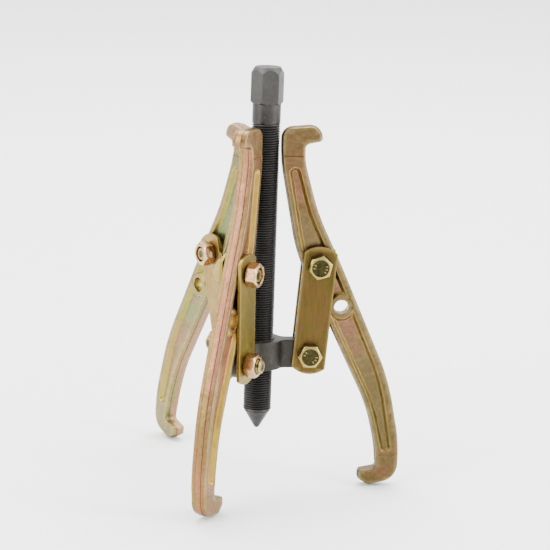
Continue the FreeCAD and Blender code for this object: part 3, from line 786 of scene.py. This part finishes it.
# raised grade ticks, three and two, on opposite sides of the sunk top
TICK_BEARINGS = (60.0, 90.0, 120.0, 255.0, 285.0)
TICK_INNER = 4.2
TICK_OUTER = 6.1
TICK_HALF_WIDTH = 0.34
TICK_FOOT = 0.40
TICK_BROW = 0.10
TICK_CROWN = 0.08
UPPER_SEAT = PLATE_OUTER + 0.3
LOWER_SEAT = PLATE_OUTER
UPPER_END = UPPER_SEAT + NUT_HEIGHT - 1.0
LOWER_END = LOWER_SEAT + NUT_HEIGHT + 3.5
# how far each hexagon is turned on its bolt, degrees
UPPER_HEAD_TURN = {"a": 12.0, "b": 8.5, "c": 25.0}
LOWER_HEAD_TURN = {"a": 40.0, "b": 27.0, "c": 8.0}
UPPER_NUT_TURN = {"a": 48.0, "b": 21.0, "c": 2.0}
LOWER_NUT_TURN = {"a": 35.0, "b": 52.0, "c": 13.0}


def draw_plate(inner_y, length):
    """Strap link about its lower hole, with its sheared edges slightly rounded."""
    end_steps, hole_steps = 40, 40

    def outline(inset):
        points = []
        radius = PLATE_END_R - inset
        for centre, sign in ((length + PLATE_END - PLATE_END_R, 1.0), (PLATE_END_R - PLATE_END, -1.0)):
            reach = math.asin((PLATE_HALF_WIDTH - inset) / radius)
            for step in range(end_steps + 1):
                angle = -reach + 2.0 * reach * step / end_steps
                points.append((sign * radius * math.sin(angle), centre + sign * radius * math.cos(angle)))
        return points

    shell = Shell()
    outer_y = inner_y + PLATE_THICKNESS
    round_rows = []
    for step in range(4):
        angle = math.radians(30.0 * step)
        round_rows.append((PLATE_EDGE * (1.0 - math.sin(angle)), PLATE_EDGE * (1.0 - math.cos(angle))))
    rows = [(inset, inner_y + lift) for inset, lift in round_rows]
    rows += [(inset, outer_y - lift) for inset, lift in reversed(round_rows)]
    rings = []
    for inset, y in rows:
        rings.append(shell.ring([(x, y, z) for x, z in outline(inset)], 1.0 if inset > 0.0 else 0.6))
    shell.skin(rings)
    sites = ((0.0, 0.0), (0.0, length))
    mouths = {}
    for y, inward in ((inner_y, 1.0), (outer_y, -1.0)):
        for x, z in sites:
            top = [(cx, y, cz) for cx, cz in circle(HOLE_R + PLATE_MOUTH, hole_steps, x, z)]
            wall = [(cx, y + inward * PLATE_MOUTH, cz) for cx, cz in circle(HOLE_R, hole_steps, x, z)]
            mouths[(y, z)] = (shell.ring(top, 0.5), shell.ring(wall, 0.5))
            shell.skin(mouths[(y, z)])
    for _, z in sites:
        shell.bridge(mouths[(inner_y, z)][1], mouths[(outer_y, z)][1])
    grid_x, grid_z = np.meshgrid(np.arange(-12.0, 12.1, 3.0), np.arange(-14.0, length + 14.1, 3.5))
    grid = np.stack([grid_x.ravel(), grid_z.ravel()], 1)
    clear = 1.0
    grid = grid[signed_distance(grid, outline(PLATE_EDGE)) < -clear]
    for x, z in sites:
        distance = np.hypot(grid[:, 0] - x, grid[:, 1] - z)
        grid = grid[distance > HOLE_R + PLATE_MOUTH + clear]
    for ring, y in ((rings[0], inner_y), (rings[-1], outer_y)):
        def level(points, y=y):
            plain = np.zeros(len(points))
            return plain + y, plain, plain, plain

        shell.sheet([ring] + [mouths[(y, z)][0] for _, z in sites], [tuple(point) for point in grid], level)
    return shell


def hexagon(across_flats, turn_deg, soft):
    """Points round a hexagon whose corners are slightly rounded."""
    radius = across_flats / math.sqrt(3.0)
    corners = []
    for step in range(6):
        angle = math.radians(turn_deg + 60.0 * step)
        corners.append((radius * math.sin(angle), radius * math.cos(angle), soft))
    return trace(corners, [4] * 6, [6] * 6)


def across_bolt(x, z, height):
    """For a hexagon square to a bolt."""
    return x, height, z


def along_bolt(x, z, height):
    """For turned things along a bolt, in a right-hand frame."""
    return z, height, x


def upright(x, y, height):
    """For things along the forcing screw."""
    return x, y, height


def hex_rings(shell, outline, place, top, bottom, start, slope, bottom_start=None, bottom_slope=None):
    """Rings of a chamfered hexagon from its top circle down to its foot, as height along the axis."""
    inward = 1.0 if bottom > top else -1.0

    def at(points, height, edge):
        return shell.ring([place(x, z, height(math.hypot(x, z))) for x, z in points], edge)

    def to_radius(x, z, radius):
        share = radius / math.hypot(x, z)
        return x * share, z * share

    def shrunk(amount):
        return [to_radius(x, z, math.hypot(x, z) - amount) for x, z in outline]

    def circle_at(radius):
        return [to_radius(x, z, radius) for x, z in outline]

    def cone(origin, sign, begin, rise):
        return lambda r: origin + sign * max(0.0, r - begin) * rise

    def level(r):
        return bottom

    drop = inward * HEX_EDGE * 0.8
    top_cone = cone(top, inward, start, slope)
    rings = [
        at(circle_at(start - 0.12), top_cone, 1.0),
        at(circle_at(start + 0.10), top_cone, 1.0),
        at(shrunk(HEX_EDGE), top_cone, 0.9),
        at(outline, cone(top + drop, inward, start, slope), 0.6),
    ]
    if bottom_start is None:
        rings.append(at(outline, lambda r: bottom - inward * HEX_EDGE, 0.4))
        rings.append(at(shrunk(HEX_EDGE), level, 0.4))
    else:
        rings.append(at(outline, cone(bottom - drop, -inward, bottom_start, bottom_slope), 0.4))
        rings.append(at(shrunk(HEX_EDGE), cone(bottom, -inward, bottom_start, bottom_slope), 0.4))
        rings.append(at(circle_at(bottom_start), level, 0.4))
    shell.skin(rings)
    return rings, circle_at


def sink(shell, rim, circle_at, place, top, inward, rows):
    """Rings that go on from a rim, by (radius, depth, edge, recess)."""
    rings = [rim]
    for radius, depth, edge, recess in rows:
        points = [place(x, z, top + inward * depth) for x, z in circle_at(radius)]
        rings.append(shell.ring(points, edge, recess))
    shell.skin(rings)
    return rings[-1]


def thread_rows(shell, radius, depth, pitch, low, high, profile, runout, place, around, wear_and_highlight):
    """Right-hand V thread between two heights; place maps (x, y, height) into the piece."""
    previous = None
    for turn in range(-1, math.ceil((high - low) / pitch) + 1):
        for share, sunk in profile:
            row = []
            for step in range(around + 1):
                angle = 2.0 * math.pi * step / around
                height = low + pitch * (turn + share + step / around)
                fade = max(0.0, min(1.0, (height - low) / runout[0], (high - height) / runout[1]))
                height = max(low, min(high, height))
                r = radius - depth * sunk * fade
                row.append(place(r * math.cos(angle), r * math.sin(angle), height))
            # crests count as edges for the painted highlight and wear, roots as recesses for painted shade
            row = shell.ring(row, wear_and_highlight * (1.0 - sunk), sunk)
            if previous is not None:
                shell.bridge(previous, row, closed=False)
            previous = row


def lathe(shell, rows, place, around):
    """Round rings from a list of (radius, height, edge, recess); radius 0 closes an end."""
    previous = None
    for radius, height, edge, recess in rows:
        if radius == 0.0:
            tip = shell.ring([place(0.0, 0.0, height)], edge, recess)[0]
            if previous is None:
                previous = tip
            else:
                shell.faces += [(previous[k], previous[(k + 1) % around], tip) for k in range(around)]
            continue
        points = [place(x, y, height) for x, y in circle(radius, around)]
        ring = shell.ring(points, edge, recess)
        if isinstance(previous, int):
            shell.faces += [(ring[k], ring[(k + 1) % around], previous) for k in range(around)]
        elif previous is not None:
            shell.bridge(previous, ring)
        previous = ring


def draw_tick(shell, bearing, top):
    angle = math.radians(bearing)
    ux, uz = math.sin(angle), math.cos(angle)
    corners = []
    for out, side in (
            (TICK_INNER, -TICK_HALF_WIDTH), (TICK_OUTER, -TICK_HALF_WIDTH),
            (TICK_OUTER, TICK_HALF_WIDTH), (TICK_INNER, TICK_HALF_WIDTH)):
        corners.append((ux * out + uz * side, uz * out - ux * side))
    foot = shell.ring([(x, top + TICK_FOOT, z) for x, z in corners], 1.0)
    brow = shell.ring([(x, top + TICK_BROW, z) for x, z in corners], 1.0)
    middle_x = sum(x for x, _ in corners) / 4.0
    middle_z = sum(z for _, z in corners) / 4.0
    shell.bridge(foot, brow)
    shell.cap(foot, (middle_x, top + TICK_FOOT, middle_z))
    shell.cap(brow, (middle_x, top + TICK_CROWN, middle_z))


def draw_bolt(turn_deg, seat, end_y):
    shell = Shell()
    top = -seat - HEAD_HEIGHT
    outline = hexagon(HEX_ACROSS_FLATS, turn_deg, HEX_CORNER_R)
    rings, circle_at = hex_rings(shell, outline, across_bolt, top, -seat, HEX_TOP_R, HEX_SLOPE)
    floor = sink(shell, rings[0], circle_at, across_bolt, top, 1.0, HEAD_SUNK)
    shell.cap(floor, (0.0, top + HEAD_SUNK[-1][1], 0.0))
    shell.recess[-1] = 1.0
    shell.cap(rings[-1], (0.0, -seat, 0.0))
    for bearing in TICK_BEARINGS:
        draw_tick(shell, bearing + turn_deg, top)
    inside_head = -seat - 1.0
    thread_start = end_y - BOLT_THREADED
    shank = [(0.0, inside_head, 0.0, 0.0), (BOLT_R, inside_head, 0.0, 0.0), (BOLT_R, thread_start, 0.0, 0.0)]
    lathe(shell, shank, along_bolt, ROUND_STEPS)
    thread_rows(shell, BOLT_R, BOLT_THREAD_DEPTH, BOLT_PITCH, thread_start, end_y - BOLT_NOSE[0][1],
                BOLT_THREAD_PROFILE, (1.5, 0.9), along_bolt, ROUND_STEPS, 1.0)
    nose = [(radius, end_y - depth, edge, recess) for radius, depth, edge, recess in BOLT_NOSE]
    lathe(shell, nose, along_bolt, ROUND_STEPS)
    return shell


def draw_nut(turn_deg, seat):
    shell = Shell()
    top = seat + NUT_HEIGHT
    outline = hexagon(HEX_ACROSS_FLATS, turn_deg, HEX_CORNER_R)
    rings, circle_at = hex_rings(
        shell, outline, across_bolt, top, seat, HEX_TOP_R, HEX_SLOPE, HEX_TOP_R, HEX_SLOPE)
    shell.bridge(sink(shell, rings[0], circle_at, across_bolt, top, -1.0, NUT_MOUTH), rings[-1])
    return shell


SCREW_R = 11.7
SCREW_PITCH = 2.0
SCREW_THREAD_DEPTH = 1.2
SCREW_THREAD_PROFILE = ((0.0, 0.0), (0.15, 0.0), (0.48, 1.0), (0.67, 1.0))
SCREW_HEAD_FLATS = 24.0
SCREW_HEAD_HEIGHT = 30.1
SCREW_HEAD_TOP_R = 10.35
SCREW_HEAD_CONE = 5.5
SCREW_HEAD_UNDER = 2.0
SCREW_HEAD_CORNER_R = 0.7
SCREW_HEAD_BEARING = 12.0
# rows from the rim of the head into its centre mark: radius, depth, edge, recess
SCREW_HEAD_TOP = ((9.8, 0.0, 0.5, 0.0), (5.0, 0.0, 0.0, 0.0), (1.6, 0.0, 0.0, 0.0), (1.3, 0.35, 0.0, 0.0))
CENTRE_MARK_DEPTH = 1.0
SHANK_LENGTH = 14.8
SCREW_END = 0.9
SOCKET_R = 5.05
SOCKET_DEPTH = 8.0


def draw_screw(bottom, top):
    """Forcing screw about its own axis: hexagon, plain shank, helical thread."""
    shell = Shell()
    foot = top - SCREW_HEAD_HEIGHT
    corner = SCREW_HEAD_FLATS / math.sqrt(3.0)
    outline = hexagon(SCREW_HEAD_FLATS, 90.0 - SCREW_HEAD_BEARING, SCREW_HEAD_CORNER_R)
    past_corner = corner + 0.1
    rings, circle_at = hex_rings(
        shell, outline, upright, top, foot,
        SCREW_HEAD_TOP_R, SCREW_HEAD_CONE / (past_corner - SCREW_HEAD_TOP_R),
        past_corner - SCREW_HEAD_UNDER, 1.0)
    mark = sink(shell, rings[0], circle_at, upright, top, -1.0, SCREW_HEAD_TOP)
    shell.cap(mark, (0.0, 0.0, top - CENTRE_MARK_DEPTH))
    shell.cap(rings[-1], (0.0, 0.0, foot))

    thread_top = foot - SHANK_LENGTH
    shank = [
        (0.0, foot + 1.0, 0.0, 0.0), (SCREW_R, foot + 1.0, 0.0, 0.0), (SCREW_R, foot - 0.5, 0.2, 0.0),
        (SCREW_R, foot - 9.0, 0.0, 0.0), (SCREW_R, thread_top + 0.4, 0.0, 0.0),
        (SCREW_R, thread_top, 0.1, 0.0)]
    lathe(shell, shank, upright, ROUND_STEPS)
    thread_rows(shell, SCREW_R, SCREW_THREAD_DEPTH, SCREW_PITCH, bottom + SCREW_END, thread_top,
                SCREW_THREAD_PROFILE, (0.5, 2.5), upright, ROUND_STEPS, 0.10)
    end = [
        (SCREW_R, bottom + SCREW_END, 0.5, 0.0), (SCREW_R, bottom + 0.25, 0.8, 0.0),
        (SCREW_R - 0.25, bottom, 0.6, 0.0), (SOCKET_R, bottom, 0.0, 0.5),
        (SOCKET_R, bottom + SOCKET_DEPTH, 0.0, 1.0), (0.0, bottom + SOCKET_DEPTH, 0.0, 1.0)]
    lathe(shell, end, upright, ROUND_STEPS)
    return shell


# ---------------------------------------------------------------- the CAD pieces that keep their own mesh
CAD_WELD_GAP = 1e-5
YOKE_ROUNDING = 0.0009


def soften_cad(node, width, material):
    """Weld and round the edges of a CAD node that keeps its own shape."""
    weld = node.modifiers.new("weld", "WELD")
    weld.merge_threshold = CAD_WELD_GAP
    if width > 0.0:
        bevel = node.modifiers.new("rounded_edges", "BEVEL")
        bevel.width = width
        bevel.segments = 3
        bevel.limit_method = "ANGLE"
        bevel.angle_limit = math.radians(32.0)
        bevel.use_clamp_overlap = True
        normals = node.modifiers.new("weighted_normals", "WEIGHTED_NORMAL")
        normals.keep_sharp = False
    node.data.materials.clear()
    node.data.materials.append(material)
    for polygon in node.data.polygons:
        polygon.use_smooth = True


soften_cad(frame["nodes"]["yoke"], YOKE_ROUNDING, MATERIALS["yoke"])
soften_cad(frame["nodes"]["screw_point"], 0.0, MATERIALS["point"])
screw_low, screw_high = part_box("forcing_screw")
draw_screw(screw_low.z / MM, screw_high.z / MM).make(
    "screw_turned", Matrix.Identity(4), MATERIALS["screw"], "screw", "screw_steel", "forcing_screw")
JAW_SHELL = draw_jaw()
for arm in ARMS:
    link_place, link_length = link_matrix(arm)
    upper_place = link_place @ Matrix.Translation((0.0, 0.0, link_length * MM))
    JAW_SHELL.make(
        "jaw_forged_" + arm, jaw_matrix(arm), MATERIALS["jaw_" + arm], "jaw_" + arm, "jaw_zinc", "jaw_" + arm)
    for side, inner in (("head", -PLATE_OUTER), ("nut", PLATE_INNER)):
        draw_plate(inner, link_length).make(
            "strap_" + arm + "_" + side, link_place, MATERIALS["link_" + arm], "link_" + arm, "link_zinc",
            "link_" + arm + "_" + side + "_side")
    levels = (
        ("lower", link_place, "link_", LOWER_SEAT, LOWER_END, LOWER_HEAD_TURN, LOWER_NUT_TURN),
        ("upper", upper_place, "upper_pin_", UPPER_SEAT, UPPER_END, UPPER_HEAD_TURN, UPPER_NUT_TURN),
    )
    for level, place, carrier, seat, end_y, heads, nuts in levels:
        draw_bolt(heads[arm], seat, end_y).make(
            level + "_hex_bolt_" + arm, place, MATERIALS["bolt"], carrier + arm, "bolt_zinc",
            level + "_bolt_" + arm)
        draw_nut(nuts[arm], seat).make(
            level + "_hex_nut_" + arm, place, MATERIALS["nut"], carrier + arm, "nut_zinc",
            level + "_nut_" + arm)


# ---------------------------------------------------------------- floor, light, camera
YOKE_MIDDLE = (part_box("yoke")[0].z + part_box("yoke")[1].z) / 2.0
CAMERA_BACK = 1.56963
CAMERA_RISE = 0.42624
CAMERA_LENS = 127.2


def lowest_point(node_name):
    return min((v.co.copy() for v in frame["nodes"][node_name].data.vertices), key=lambda co: co.z)


def make_floor():
    """A pale sheet under the feet of the three jaws, square to the plane they stand on."""
    feet = [lowest_point("jaw_" + name) for name in ARMS]
    middle = (feet[0] + feet[1] + feet[2]) / 3.0
    up = (feet[1] - feet[0]).cross(feet[2] - feet[0]).normalized()
    if up.z < 0.0:
        up.negate()
    side = Vector((1.0, 0.0, 0.0)).cross(up).normalized()
    along = up.cross(side) * -1.0
    reach = 14.0
    drop = 0.0008
    corners = []
    for a, b in ((-1, -1), (1, -1), (1, 1), (-1, 1)):
        corners.append(middle + along * (a * reach) + side * (b * reach) - up * drop)
    mesh = bpy.data.meshes.new("floor")
    mesh.from_pydata(corners, [], [(0, 1, 2, 3)])
    floor = bpy.data.objects.new("floor", mesh)
    bpy.context.scene.collection.objects.link(floor)
    s = Shader("floor_pale")
    mesh.materials.append(s.finish((0.90, 0.90, 0.89, 1.0), 0.75, None, 0.0))


def make_light(name, place, target, size, power):
    data = bpy.data.lights.new(name, "AREA")
    data.shape = "RECTANGLE"
    data.size, data.size_y = size
    data.energy = power
    light = bpy.data.objects.new(name, data)
    light.location = place
    light.rotation_euler = (Vector(target) - Vector(place)).to_track_quat("-Z", "Y").to_euler()
    bpy.context.scene.collection.objects.link(light)


def make_camera():
    """A long lens in front of arm b and a little above the yoke."""
    forward = Vector((0.007048, 0.974640, -0.223669))
    right = Vector((0.999446, 0.000409, 0.033276))
    up = right.cross(forward).normalized()
    right = forward.cross(up)
    data = bpy.data.cameras.new("camera")
    data.sensor_width = 36.0
    data.lens = CAMERA_LENS
    camera = bpy.data.objects.new("camera", data)
    turn = Matrix((right, up, -forward)).transposed().to_4x4()
    camera.matrix_world = Matrix.Translation((0.0, -CAMERA_BACK, YOKE_MIDDLE + CAMERA_RISE)) @ turn
    bpy.context.scene.collection.objects.link(camera)
    bpy.context.scene.camera = camera


def make_world():
    """A bright ceiling that falls off towards the horizon and towards the camera's side."""
    world = bpy.data.worlds.new("studio")
    world.use_nodes = True
    tree = world.node_tree
    direction = tree.nodes.new("ShaderNodeTexCoord").outputs["Generated"]
    split = tree.nodes.new("ShaderNodeSeparateXYZ")
    tree.links.new(direction, split.inputs[0])

    def span(value, low, high, to_low, to_high):
        node = tree.nodes.new("ShaderNodeMapRange")
        node.interpolation_type = "SMOOTHSTEP"
        tree.links.new(value, node.inputs["Value"])
        for label, number in (("From Min", low), ("From Max", high), ("To Min", to_low), ("To Max", to_high)):
            node.inputs[label].default_value = number
        return node.outputs["Result"]

    product = tree.nodes.new("ShaderNodeMath")
    product.operation = "MULTIPLY"
    tree.links.new(span(split.outputs[2], -0.05, 0.75, 1.15, 3.8), product.inputs[0])
    tree.links.new(span(split.outputs[1], -0.95, 0.1, 0.45, 1.0), product.inputs[1])
    background = tree.nodes["Background"]
    background.inputs["Color"].default_value = (0.97, 0.98, 1.0, 1.0)
    tree.links.new(product.outputs[0], background.inputs["Strength"])
    bpy.context.scene.world = world


make_world()
make_floor()
CENTRE = (0.0, 0.0, 0.12)
make_light("key", (-1.4, -0.9, 0.9), CENTRE, (1.0, 1.5), 42.0)
make_light("side", (1.7, -0.5, 0.8), CENTRE, (0.5, 1.3), 34.0)
make_light("top", (0.1, 1.0, 2.0), (0.0, 1.2, 0.0), (2.4, 1.6), 100.0)
make_camera()
